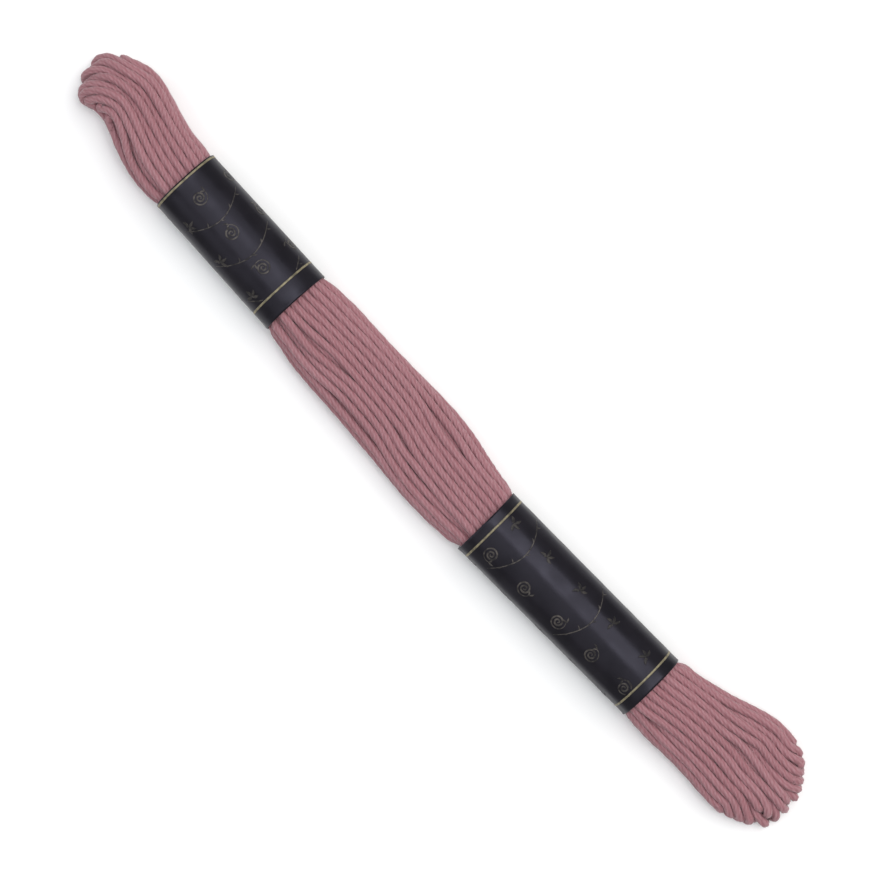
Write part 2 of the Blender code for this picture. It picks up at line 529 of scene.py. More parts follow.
@dataclass
class Winding:
    """One length of floss, laid round and round the bundle before it settles.

    Attributes:
        bundle: the middle line and its sections.
        layers: for each layer, its height share and its count of turns.
        point_step: spacing of the laid points.
        wander: how far a turn strays sideways from its lane, as a share of the section.
        lift: how far it strays up or down, as a share of the section.
        wander_length: usual length of one such stray.
        fan_radius: radius of an innermost turn's bend at the fan, and what the
            outermost adds to it.
        fold_radius: the same at the twisted loop's fold.
        fan_inset: how far before the middle line's end the fan's turns end.
        fan_round: how much earlier the turns end at the fan's +Y and -Y edges.
        fan_steps: how far the turns' ends stand before and behind each other.
        fold_inset: how far after the middle line's start the turns fold.
        fold_slant: how much later they fold at the +Y edge than in the middle.
        fold_steps: how far the folds stand before and behind each other.
        first_end: place on the middle line where the floss starts, on top.
        last_end: how far before the middle line's end the floss ends, below.
        seed: seed of every stray and step.
    """

    bundle: Bundle
    layers: tuple[tuple[float, int], ...] = ((0.16, 10), (0.48, 9), (0.82, 7))
    point_step: float = 0.5
    wander: float = 0.065
    lift: float = 0.05
    wander_length: float = 60.0
    fan_radius: tuple[float, float] = (0.5, 1.6)
    fold_radius: tuple[float, float] = (0.5, 2.2)
    fan_inset: float = -2.8
    fan_round: tuple[float, float] = (2.2, 2.0)
    fan_steps: float = 0.6
    fold_inset: float = -0.4
    fold_slant: float = 0.5
    fold_steps: float = 0.25
    first_end: float = 33.0
    last_end: float = 50.0
    seed: int = 7

    def lanes(self) -> list[Lane]:
        """Sets the turns out in layers, back and forth across the bundle."""
        widest, narrowing = 0.97, 0.95
        lanes = []
        for number, (up, count) in enumerate(self.layers):
            edge = widest * math.sqrt(1.0 - (narrowing * up) ** 2)
            row = [Lane(float(across), up) for across in np.linspace(-edge, edge, count)]
            lanes += row[::-1] if number % 2 else row
        return lanes

    def path(self) -> np.ndarray:
        """Lays every turn: over the top, round the fan, back below, round the fold.

        Returns:
            The floss's points in order.
        """
        chance = np.random.default_rng(self.seed)
        lanes = self.lanes()
        stretches = []
        for number, lane in enumerate(lanes):
            following = lanes[min(number + 1, len(lanes) - 1)]
            stretches += self._turn(lane, following, chance, number, len(lanes))
        return np.concatenate(stretches)

    def _turn(
        self, lane: Lane, following: Lane, chance: np.random.Generator, number: int, count: int
    ) -> list[np.ndarray]:
        """Lays one turn of floss.

        Args:
            lane: where the turn lies.
            following: where the next turn lies, which its last part leads to.
            chance: the seeded source of its strays.
            number: the turn's number.
            count: how many turns there are.

        Returns:
            The turn's stretches in order.
        """
        across, up = lane
        fan_step, fold_step = chance.uniform(-1.0, 1.0, 2)
        outer, inner = max(across, 0.0), max(-across, 0.0)
        fan = self.bundle.length - self.fan_inset + self.fan_steps * fan_step
        fan -= self.fan_round[0] * outer**2 + self.fan_round[1] * inner**2
        fold = self.fold_inset + self.fold_slant * across + self.fold_steps * fold_step
        over = np.arange(fold, fan, self.point_step)
        back = over[::-1]
        top = self._leg(over, across, up, chance)
        under = self._leg(back, across, -up, chance)

        radius, angle = self._bend(self.fan_radius, up)
        ends = fan + radius * np.sin(angle)
        fan_arc = self.bundle.place(ends, np.full_like(ends, across), up * np.cos(angle))

        radius, angle = self._bend(self.fold_radius, up)
        share = angle / math.pi
        ends = fold - radius * np.sin(angle)
        side = across + (following.across - across) * share
        height = -(up + (following.up - up) * share) * np.cos(angle)
        fold_arc = self.bundle.place(ends, side, height)

        if number == 0:
            top = top[over > self.first_end]
        if number == count - 1:
            return [top, fan_arc, under[back > self.bundle.length - self.last_end]]
        return [top, fan_arc, under, fold_arc]

    def _bend(self, radii: tuple[float, float], up: float) -> tuple[float, np.ndarray]:
        """Measures a turn's bend at a loop.

        Args:
            radii: an innermost turn's radius, and what the outermost adds to it.
            up: how far out the turn lies.

        Returns:
            The turn's radius, and the angles round the bend at which its points lie.
        """
        tightest = 0.8
        radius = radii[0] + radii[1] * up
        return radius, np.arange(0.0, math.pi, self.point_step / max(radius, tightest))[1:]

    def _leg(
        self, s: np.ndarray, across: float, up: float, chance: np.random.Generator
    ) -> np.ndarray:
        """Lays one straight run between the loops, with its slight strays.

        Args:
            s: places along the middle line, in the order in which they are laid.
            across: the lane's place across the section.
            up: its height in the section.
            chance: the seeded source of the strays.

        Returns:
            The run's points.
        """
        side = across + self.wander * drift(s, self.wander_length, chance)
        height = up + self.lift * drift(s, self.wander_length, chance)
        return self.bundle.place(s, side, height)


@dataclass
class Settling:
    """Pushes the laid floss apart until its turns only touch.

    Attributes:
        outline: the room that the floss has.
        radius: half the floss's diameter.
        spacing: distance between two points of the floss.
        first_easings: how many times the laid floss is smoothed first.
        passes: how many times every point is moved.
        search_every: passes between two searches for turns that may touch.
        search_reach: how far past touching a search looks.
        neighbours: how many points further along never count as touching.
        push: how far touching points are parted, as a share of their overlap.
        crowd: how many touches a point may have before they share its move.
        stiffness: how far a point moves to the middle of its neighbours in a pass.
        stretch: share of a step's extra length that each of its ends takes up.
        squeeze: share of a step's missing length that each of its ends gives.
        hold: share of the way back that a point outside the room is moved.
        hold_limit: the longest such way.
        weight: how far every point sinks in a pass.
    """

    outline: SkeinOutline
    radius: float
    spacing: float = 1.0
    first_easings: int = 3
    passes: int = 300
    search_every: int = 8
    search_reach: float = 0.35
    neighbours: int = 3
    push: float = 1.25
    crowd: float = 2.2
    stiffness: float = 0.2
    stretch: float = 0.4
    squeeze: float = 0.1
    hold: float = 0.8
    hold_limit: float = 0.4
    weight: float = 0.01

    def settle(self, laid: np.ndarray) -> np.ndarray:
        """Settles the floss.

        Args:
            laid: its points as they were wound.

        Returns:
            The settled points, a spacing apart.
        """
        points = evenly(laid, self.spacing)
        for _ in range(self.first_easings):
            points = eased(points)
        first = second = np.zeros(0, dtype=int)
        for number in range(self.passes):
            if number % self.search_every == 0:
                first, second = self._near(points)
            self._part(points, first, second)
            self._bend_and_keep_length(points)
            self._stay_inside(points)
        return points

    def _near(self, points: np.ndarray) -> tuple[np.ndarray, np.ndarray]:
        """Lists the pairs of points that are close enough to touch.

        Args:
            points: the floss.

        Returns:
            The first and the second point of each pair.
        """
        reach = 2 * self.radius + self.search_reach
        cell = np.floor((points - points.min(axis=0)) / reach).astype(np.int64) + 1
        size = cell.max(axis=0) + 2
        key = (cell[:, 0] * size[1] + cell[:, 1]) * size[2] + cell[:, 2]
        order = np.argsort(key, kind="stable")
        sorted_key = key[order]
        places = np.arange(len(order))
        first, second = [], []
        half_round = [
            (dx, dy, dz)
            for dx in (0, 1) for dy in (-1, 0, 1) for dz in (-1, 0, 1)
            if (dx, dy, dz) >= (0, 0, 0)
        ]
        for dx, dy, dz in half_round:
            wanted = sorted_key + (dx * size[1] + dy) * size[2] + dz
            start = np.searchsorted(sorted_key, wanted, "left")
            end = np.searchsorted(sorted_key, wanted, "right")
            if (dx, dy, dz) == (0, 0, 0):
                start = places + 1
            count = np.maximum(end - start, 0)
            before = np.concatenate(([0], np.cumsum(count)[:-1]))
            first.append(order[np.repeat(places, count)])
            second.append(order[np.arange(count.sum()) + np.repeat(start - before, count)])
        a, b = np.concatenate(first), np.concatenate(second)
        apart = np.abs(a - b) > self.neighbours
        a, b = a[apart], b[apart]
        close = np.linalg.norm(points[a] - points[b], axis=1) < reach
        return a[close], b[close]

    def _part(self, points: np.ndarray, first: np.ndarray, second: np.ndarray) -> None:
        """Moves touching points apart, and every point a little down."""
        gap = points[second] - points[first]
        distance = np.linalg.norm(gap, axis=1) + TINY
        over = 2 * self.radius - distance
        touching = over > 0
        a, b = first[touching], second[touching]
        move = gap[touching] * (over[touching] / distance[touching] / 2)[:, None]
        count = len(points)
        crowd = (np.bincount(a, minlength=count) + np.bincount(b, minlength=count)) / self.crowd
        sums = [np.bincount(b, way, count) - np.bincount(a, way, count) for way in move.T]
        shift = np.stack(sums, axis=1) / np.maximum(crowd, 1.0)[:, None]
        points += self.push * eased(shift)
        points[:, 2] -= self.weight

    def _bend_and_keep_length(self, points: np.ndarray) -> None:
        """Straightens the floss a little and keeps its points a spacing apart."""
        points[1:-1] += self.stiffness * ((points[:-2] + points[2:]) / 2 - points[1:-1])
        for parity in (0, 1):
            a = np.arange(parity, len(points) - 1, 2)
            step = points[a + 1] - points[a]
            length = np.linalg.norm(step, axis=1) + TINY
            pull = np.where(length > self.spacing, self.stretch, self.squeeze)
            move = step * (pull * (length - self.spacing) / length)[:, None]
            points[a] += move
            points[a + 1] -= move

    def _stay_inside(self, points: np.ndarray) -> None:
        """Moves points back inside the outline and above the surface below."""
        share = self.outline.share(points, self.radius)
        out = share > 1
        if out.any():
            nudge, least_steep, outside = 0.05, 1e-6, points[out]
            slope = np.zeros_like(outside)
            for axis, step in enumerate(nudge * np.eye(3)):
                rise = self.outline.share(outside + step, self.radius)
                fall = self.outline.share(outside - step, self.radius)
                slope[:, axis] = (rise - fall) / (2 * nudge)
            steepness = (slope**2).sum(axis=1) + least_steep
            move = ((share[out] - 1) / steepness)[:, None] * slope
            size = np.linalg.norm(move, axis=1) + TINY
            move *= (np.minimum(size, self.hold_limit) / size)[:, None]
            points[out] -= self.hold * move
        base = np.interp(points[:, 0], self.outline.x, self.outline.base)
        points[:, 2] = np.maximum(points[:, 2], base + self.radius)
        ends = (cad_low.x / MM + self.radius, cad_high.x / MM - self.radius)
        points[:, 0] = np.clip(points[:, 0], *ends)


# ------------------------------------------------------------------------- finishes


@dataclass
class NodeBench:
    """A material with a Principled shader, and short ways to wire nodes into it.

    Attributes:
        name: the material's name.
        material: the material.
        shader: its Principled shader.
    """

    name: str
    material: bpy.types.Material = field(init=False)
    shader: bpy.types.Node = field(init=False)

    def __post_init__(self) -> None:
        """Makes the material."""
        self.material = bpy.data.materials.new(self.name)
        self.material.use_nodes = True
        self.shader = self.material.node_tree.nodes["Principled BSDF"]

    def set(self, **values: float | tuple[float, ...]) -> None:
        """Sets the shader's own sockets, named with underscores for spaces."""
        for name, value in values.items():
            self.shader.inputs[name.replace("_", " ")].default_value = value

    def node(
        self, kind: str, inputs: dict[str | int, object] | None = None, **settings: object
    ) -> bpy.types.Node:
        """Adds a node.

        Args:
            kind: the node's type without its ShaderNode prefix.
            inputs: for each input, the value it has or the output that feeds it.
            **settings: the node's own settings.

        Returns:
            The node.
        """
        made = self.material.node_tree.nodes.new("ShaderNode" + kind)
        for name, value in settings.items():
            setattr(made, name, value)
        for name, value in (inputs or {}).items():
            if isinstance(value, bpy.types.NodeSocket):
                self.material.node_tree.links.new(value, made.inputs[name])
            else:
                made.inputs[name].default_value = value
        return made

    def math(self, operation: str, *values: object) -> bpy.types.NodeSocket:
        """Adds a sum and returns its output."""
        return self.node("Math", dict(enumerate(values)), operation=operation).outputs[0]

    def noise(self, vector: object, scale: float, detail: float = 2.0) -> bpy.types.NodeSocket:
        """Adds a noise texture and returns its height."""
        inputs = {"Vector": vector, "Scale": scale, "Detail": detail}
        return self.node("TexNoise", inputs).outputs[0]

    def spread(
        self,
        value: bpy.types.NodeSocket,
        heights: tuple[float, float],
        shares: tuple[float, float] = (0.0, 1.0),
    ) -> bpy.types.NodeSocket:
        """Maps a range of heights to a range of shares and returns the output."""
        names = ("Value", "From Min", "From Max", "To Min", "To Max")
        return self.node("MapRange", dict(zip(names, (value, *heights, *shares)))).outputs[0]

    def shade(
        self, share: bpy.types.NodeSocket, dark: tuple[float, ...], light: tuple[float, ...]
    ) -> bpy.types.NodeSocket:
        """Blends two colours by a share and returns the output."""
        made = self.node("Mix", data_type="RGBA")
        made.inputs["A"].default_value = dark
        made.inputs["B"].default_value = light
        self.material.node_tree.links.new(share, made.inputs["Factor"])
        return made.outputs["Result"]

    def feed(self, name: str, output: bpy.types.NodeSocket) -> None:
        """Wires an output to one of the shader's inputs."""
        self.material.node_tree.links.new(output, self.shader.inputs[name])

    def bump(self, height: bpy.types.NodeSocket, depth: float) -> None:
        """Roughens the surface by a height of a given depth in metres."""
        made = self.node("Bump", {"Height": height, "Distance": depth, "Strength": 1.0})
        self.feed("Normal", made.outputs["Normal"])


def srgb(red: int, green: int, blue: int) -> tuple[float, float, float, float]:
    """Turns a screen colour of 0 to 255 into the shader's linear one."""
    values = (channel / 255 for channel in (red, green, blue))
    linear = [v / 12.92 if v <= 0.04045 else ((v + 0.055) / 1.055) ** 2.4 for v in values]
    return (*linear, 1.0)


@dataclass(frozen=True)
class CottonFinish:
    """Dyed, mercerized cotton: soft plied strands with a silky sheen.

    The floss's own UV map runs in millimetres along it and once round it, 0 to 1; its grooves get
    painted shade.

    Attributes:
        name: the material's name.
        light: the cotton's own colour, as on the strands' crowns.
        shade_and_dye_colour: painted shade colour in the grooves, and the darker tone of dye and
            fibres.
        roughness: how soft the cotton's highlights are.
        gloss: how strong they are.
        sheen: how strong the soft light at its edges is.
        sheen_roughness: how far that light spreads.
        strands: strands laid side by side in the floss.
        ply_pitch: length in which a strand's two plies go once round each other.
        ply_lean: which way they lean, against the lay of the strands.
        ply_lead: turns by which each strand's plies are ahead of the last one's.
        ply_sway: fineness of the plies' unevenness, for each millimetre.
        fibres: fineness of the fibres, for each turn of the plies and each millimetre.
        dye_fineness: fineness of the dye's unevenness, for each millimetre.
        fibre_detail: how many finer waves the fibres have.
        dye_detail: how many the dye's unevenness has.
        groove_shade_heights: heights on a strand between which painted shade darkens its groove.
        fibre_heights: the same on the fibres' waves.
        dye_heights: the same on the dye's.
        ply_shade_shares: shares of the light colour between two plies, where shade is painted, and
            on one.
        groove_shade_shares: the same between two strands, where shade is painted, and on one.
        fibre_shares: the same between fibres and on them.
        dye_shares: the same where the dye is strong and where it is weak.
        ply_depth: depth of the groove between two plies.
        fibre_depth: height of a fibre.
    """

    name: str = "mauve_cotton"
    light: tuple[float, ...] = srgb(157, 116, 122)
    shade_and_dye_colour: tuple[float, ...] = srgb(126, 72, 79)
    roughness: float = 0.62
    gloss: float = 0.35
    sheen: float = 0.2
    sheen_roughness: float = 0.45
    strands: int = 6
    ply_pitch: float = 1.1
    ply_lean: Lean = Lean.RIGHT
    ply_lead: float = 0.8
    ply_sway: float = 0.9
    fibres: tuple[float, float] = (9.0, 0.9)
    dye_fineness: float = 0.03
    fibre_detail: float = 3.0
    dye_detail: float = 4.0
    groove_shade_heights: tuple[float, float] = (0.0, 0.7)
    fibre_heights: tuple[float, float] = (0.3, 0.7)
    dye_heights: tuple[float, float] = (0.35, 0.65)
    ply_shade_shares: tuple[float, float] = (0.66, 1.0)
    groove_shade_shares: tuple[float, float] = (0.5, 1.0)
    fibre_shares: tuple[float, float] = (0.75, 1.1)
    dye_shares: tuple[float, float] = (0.82, 1.12)
    ply_depth: float = 0.045 * MM
    fibre_depth: float = 0.02 * MM

    def material(self) -> bpy.types.Material:
        """Builds the material."""
        bench = NodeBench(self.name)
        bench.set(
            Roughness=self.roughness,
            Sheen_Weight=self.sheen,
            Sheen_Roughness=self.sheen_roughness,
            Specular_IOR_Level=self.gloss,
        )
        place = bench.node("SeparateXYZ", {0: bench.node("UVMap", uv_map="UVMap").outputs[0]})
        along, around = place.outputs[0], place.outputs[1]
        strand = bench.math("MULTIPLY", around, float(self.strands))
        swayed = bench.node("CombineXYZ", {0: along, 1: strand})
        sway = bench.noise(swayed.outputs[0], self.ply_sway)
        turns = bench.math("DIVIDE", along, self.ply_pitch)
        lean = bench.math("MULTIPLY", strand, self.ply_lead * self.ply_lean.value)
        phase = bench.math("ADD", bench.math("ADD", turns, lean), sway)
        ply = bench.math("SINE", bench.math("MULTIPLY", phase, 2 * math.pi))
        ply_height = bench.spread(ply, (-1.0, 1.0))
        # Zero in the groove between two strands and one on a strand's crown: the mask for painted
        # shade there.
        half_turns = bench.math("MULTIPLY", strand, math.pi)
        strand_groove_shade = bench.math("ABSOLUTE", bench.math("COSINE", half_turns))

        by_turn, by_length = self.fibres
        beside = bench.math("MULTIPLY", phase, by_turn)
        ahead = bench.math("MULTIPLY", along, by_length)
        streaks = bench.node("CombineXYZ", {0: beside, 1: ahead})
        fibre = bench.noise(streaks.outputs[0], 1.0, self.fibre_detail)
        slow = bench.node("CombineXYZ", {0: bench.math("MULTIPLY", along, self.dye_fineness)})
        dye = bench.noise(slow.outputs[0], 1.0, self.dye_detail)

        # Painted shade darkens the colour between plies (whose height also drives the bump) and
        # between strands; the fibres and the dye vary its tone.
        share = bench.spread(ply_height, (0.0, 1.0), self.ply_shade_shares)
        for height, heights, shares in (
            (strand_groove_shade, self.groove_shade_heights, self.groove_shade_shares),
            (fibre, self.fibre_heights, self.fibre_shares),
            (dye, self.dye_heights, self.dye_shares),
        ):
            share = bench.math("MULTIPLY", share, bench.spread(height, heights, shares))
        # The base colour runs from the painted shade colour in the grooves to the cotton's own
        # colour on the crowns.
        bench.feed("Base Color", bench.shade(share, self.shade_and_dye_colour, self.light))

        fine = bench.math("MULTIPLY", fibre, self.fibre_depth / self.ply_depth)
        bench.bump(bench.math("ADD", ply_height, fine), self.ply_depth)
        return bench.material


@dataclass(frozen=True)
class PaperFinish:
    """Black coated paper, smooth with a low gloss.

    Attributes:
        name: the material's name.
        black: the colour of the coating.
        worn: its colour where it is worn.
        roughness: how soft its highlights are, at least and at most.
        gloss: how strong they are.
        gloss_tint: their colour.
        cloud_scale: fineness of the wear and of the highlights' unevenness, for each metre.
        wear_heights: heights of its waves between which the coating gets worn.
        gloss_heights: the same between which the highlights get softer.
        fibre_scale: fineness of the paper's tooth, for each metre.
        fibre_depth: height of the tooth.
        detail: how many finer waves the tooth and the wear have.
    """

    name: str = "black_coated_paper"
    black: tuple[float, ...] = srgb(13, 12, 15)
    worn: tuple[float, ...] = srgb(21, 19, 23)
    roughness: tuple[float, float] = (0.3, 0.4)
    gloss: float = 0.32
    gloss_tint: tuple[float, ...] = (0.84, 0.8, 1.0, 1.0)
    cloud_scale: float = 260.0
    wear_heights: tuple[float, float] = (0.3, 0.9)
    gloss_heights: tuple[float, float] = (0.35, 0.65)
    fibre_scale: float = 2600.0
    fibre_depth: float = 0.006 * MM
    detail: float = 3.0

    def material(self) -> bpy.types.Material:
        """Builds the material."""
        bench = NodeBench(self.name)
        bench.set(Specular_IOR_Level=self.gloss, Specular_Tint=self.gloss_tint)
        place = bench.node("TexCoord").outputs["Object"]
        tooth = bench.noise(place, self.fibre_scale, self.detail)
        cloud = bench.noise(place, self.cloud_scale, self.detail)
        wear = bench.spread(cloud, self.wear_heights)
        bench.feed("Roughness", bench.spread(cloud, self.gloss_heights, self.roughness))
        bench.feed("Base Color", bench.shade(wear, self.black, self.worn))
        bench.bump(tooth, self.fibre_depth)
        return bench.material


@dataclass(frozen=True)
class GoldFinish:
    """Dull gold printing ink, rubbed a little.

    Attributes:
        name: the material's name.
        bright: the ink where it is whole.
        rubbed: the ink where the paper shows through.
        rub_range: heights of the rubbing noise between which the ink wears away.
        rub_scale: fineness of the rubbing, for each metre.
        rub_detail: how many finer waves it has.
        roughness: how soft the ink's highlights are.
        metallic: how much like metal it shines.
    """

    name: str
    bright: tuple[float, ...]
    rubbed: tuple[float, ...]
    rub_range: tuple[float, float] = (0.36, 0.66)
    rub_scale: float = 1400.0
    rub_detail: float = 3.0
    roughness: float = 0.5
    metallic: float = 0.5

    def material(self) -> bpy.types.Material:
        """Builds the material."""
        bench = NodeBench(self.name)
        bench.set(Roughness=self.roughness, Metallic=self.metallic)
        place = bench.node("TexCoord").outputs["Object"]
        rub = bench.noise(place, self.rub_scale, self.rub_detail)
        whole = bench.spread(rub, self.rub_range)
        bench.feed("Base Color", bench.shade(whole, self.rubbed, self.bright))
        return bench.material


# The inks, in the order of Ink.
INKS = (
    GoldFinish("gold_border_ink", srgb(142, 133, 107), srgb(94, 88, 72), (0.3, 0.6)),
    GoldFinish("gold_scroll_ink", srgb(86, 81, 77), srgb(38, 35, 36)),
    GoldFinish("gold_leaf_ink", srgb(66, 62, 60), srgb(33, 31, 32)),
)


@dataclass(frozen=True)
class FloorFinish:
    """A plain pale surface.

    Attributes:
        name: the material's name.
        pale: its colour.
        roughness: how soft its highlights are.
    """

    name: str = "pale_floor"
    pale: tuple[float, ...] = (0.9, 0.9, 0.9, 1.0)
    roughness: float = 0.9

    def material(self) -> bpy.types.Material:
        """Builds the material."""
        bench = NodeBench(self.name)
        bench.set(Base_Color=self.pale, Roughness=self.roughness)
        return bench.material


# ----------------------------------------------------------------------- the hank


@dataclass
class FlossHank:
    """The hank of floss, in a few pieces that are cut where a band hides the cut.

    Attributes:
        diameter: the floss's width as its turns lie on each other.
        plump: how much fuller the floss is drawn, since soft turns press together.
        strands: strands laid side by side in the floss.
        points_per_strand: points round each strand.
        groove: depth of the groove between two strands, as a share of the radius.
        lay: length in which the strands go once round the floss.
        lay_drift: how far the strands turn ahead or back of that, in radians.
        lay_wave: usual length of one such drift.
        unevenness: how much fuller or thinner the floss gets, as a share.
        unevenness_wave: usual length of one such change.
        point_step: spacing of the drawn points where the floss is straight.
        bend_ease: the bend's radius at which they lie twice as close.
        pieces: how many pieces the length is cut into.
        cut_depth: how far inside the upper band every cut lies.
        seed: seed of the drifts.
        settled: the settled floss's points.
    """

    diameter: float = 1.3
    plump: float = 1.06
    strands: int = 6
    points_per_strand: int = 4
    groove: float = 0.14
    lay: float = 14.0
    lay_drift: float = 0.8
    lay_wave: float = 45.0
    unevenness: float = 0.035
    unevenness_wave: float = 9.0
    point_step: float = 0.85
    bend_ease: float = 2.0
    pieces: int = 4
    cut_depth: float = 3.0
    seed: int = 21
    settled: np.ndarray = field(init=False)

    def wind(self) -> None:
        """Winds the floss round the bundle and settles it."""
        outline = SkeinOutline()
        bundle = Bundle(outline, self.diameter / 2)
        self.settled = Settling(outline, self.diameter / 2).settle(Winding(bundle).path())
        log.info("floss wound: %.2f m", lengths_along(self.settled)[-1] * MM)

    def build(self, finish: CottonFinish) -> list[bpy.types.Object]:
        """Makes the floss's pieces.

        Args:
            finish: the cotton's finish.

        Returns:
            The pieces.
        """
        points = closer_at_bends(self.settled, self.point_step, self.bend_ease)
        chance = np.random.default_rng(self.seed)
        along = lengths_along(points)
        sway = self.lay_drift * drift(along, self.lay_wave, chance)
        turn = 2 * math.pi * along / self.lay + sway
        fullness = 1.0 + self.unevenness * drift(along, self.unevenness_wave, chance)
        radius = self.diameter / 2 * self.plump
        points[:, 2] = np.maximum(points[:, 2], radius * fullness)
        material = finish.material()
        section = self._section()
        cuts = self._cuts(points)
        made = []
        for number, (start, end) in enumerate(zip(cuts[:-1], cuts[1:]), start=1):
            part = slice(start, end + 1)
            name = f"floss_{number}"
            mesh = self._mesh(name, section, points[part], turn[part], fullness[part])
            self._lay_out(mesh, along[part])
            weld(mesh)
            mesh.shade_smooth()
            mesh.materials.append(material)
            piece = new_object(name, mesh)
            fix_to_frame(piece)
            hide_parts(HANK_NODE)
            log.info("%s: %d faces", name, len(mesh.polygons))
            made.append(piece)
        bpy.data.objects.remove(section)
        return made

    def _cuts(self, points: np.ndarray) -> list[int]:
        """Chooses where the length is cut, each time inside the upper band."""
        low, high = (corner.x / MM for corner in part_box(BAND_NODES[0]))
        x = points[:, 0]
        hidden = np.flatnonzero((x > low + self.cut_depth) & (x < high - self.cut_depth))
        wanted = [len(points) * k / self.pieces for k in range(1, self.pieces)]
        inner = [int(hidden[np.argmin(np.abs(hidden - w))]) for w in wanted]
        return [0, *inner, len(points) - 1]

    def _section(self) -> bpy.types.Object:
        """Draws the floss's section: one soft lobe for each strand."""
        curve = bpy.data.curves.new("floss_section", "CURVE")
        curve.dimensions = "2D"
        spline = curve.splines.new("POLY")
        count = self.strands * self.points_per_strand
        spline.points.add(count - 1)
        spline.use_cyclic_u = True
        for i, point in enumerate(spline.points):
            angle = 2 * math.pi * i / count
            lobe = abs(math.cos(self.strands * angle / 2))
            radius = self.diameter / 2 * self.plump * MM * (1 - self.groove * (1 - lobe))
            point.co = (radius * math.cos(angle), radius * math.sin(angle), 0.0, 1.0)
        return new_object("floss_section", curve)

    def _mesh(
        self,
        name: str,
        section: bpy.types.Object,
        points: np.ndarray,
        turn: np.ndarray,
        fullness: np.ndarray,
    ) -> bpy.types.Mesh:
        """Draws the section along one stretch of the floss.

        Args:
            name: the stretch's name.
            section: the section's curve.
            points: the stretch's points.
            turn: how far the strands have turned at each point.
            fullness: how full the floss is at each point.

        Returns:
            The stretch's mesh, with its ends capped.
        """
        curve = bpy.data.curves.new(name, "CURVE")
        curve.dimensions = "3D"
        curve.bevel_mode = "OBJECT"
        curve.bevel_object = section
        curve.use_fill_caps = True
        spline = curve.splines.new("POLY")
        spline.points.add(len(points) - 1)
        rows = np.concatenate((points * MM, np.ones((len(points), 1))), axis=1)
        spline.points.foreach_set("co", rows.ravel())
        spline.points.foreach_set("tilt", turn)
        spline.points.foreach_set("radius", fullness)
        return drawn_mesh(name, curve)

    def _lay_out(self, mesh: bpy.types.Mesh, along: np.ndarray) -> None:
        """Gives a stretch its UV map: millimetres along the floss, and once round it.

        Args:
            mesh: the stretch, whose corners still lie ring by ring.
            along: how far along the whole floss each ring lies.
        """
        count, quad = self.strands * self.points_per_strand, 4
        corners = np.zeros(len(mesh.loops), dtype=np.int32)
        mesh.loops.foreach_get("vertex_index", corners)
        ring, place = corners // count, corners % count
        on_side = ring < len(along)
        sides = int(on_side.sum()) // quad
        around = place.astype(float)
        quads = around[: sides * quad].reshape(sides, quad)
        wraps = quads.max(axis=1) - quads.min(axis=1) > 1
        quads[wraps] = np.where(quads[wraps] == 0, count, quads[wraps])
        length = along[np.minimum(ring, len(along) - 1)]
        layer = mesh.uv_layers[0] if mesh.uv_layers else mesh.uv_layers.new(name="UVMap")
        layer.name = "UVMap"
        layer.uv.foreach_set("vector", np.stack((length, around / count), axis=1).ravel())


# --------------------------------------------------------------------- paper bands


class Crease(NamedTuple):
    """A soft fold along a band."""

    at: float      # degrees round from the top, towards +Y
    skew: float    # millimetres that it wanders round from mouth to mouth


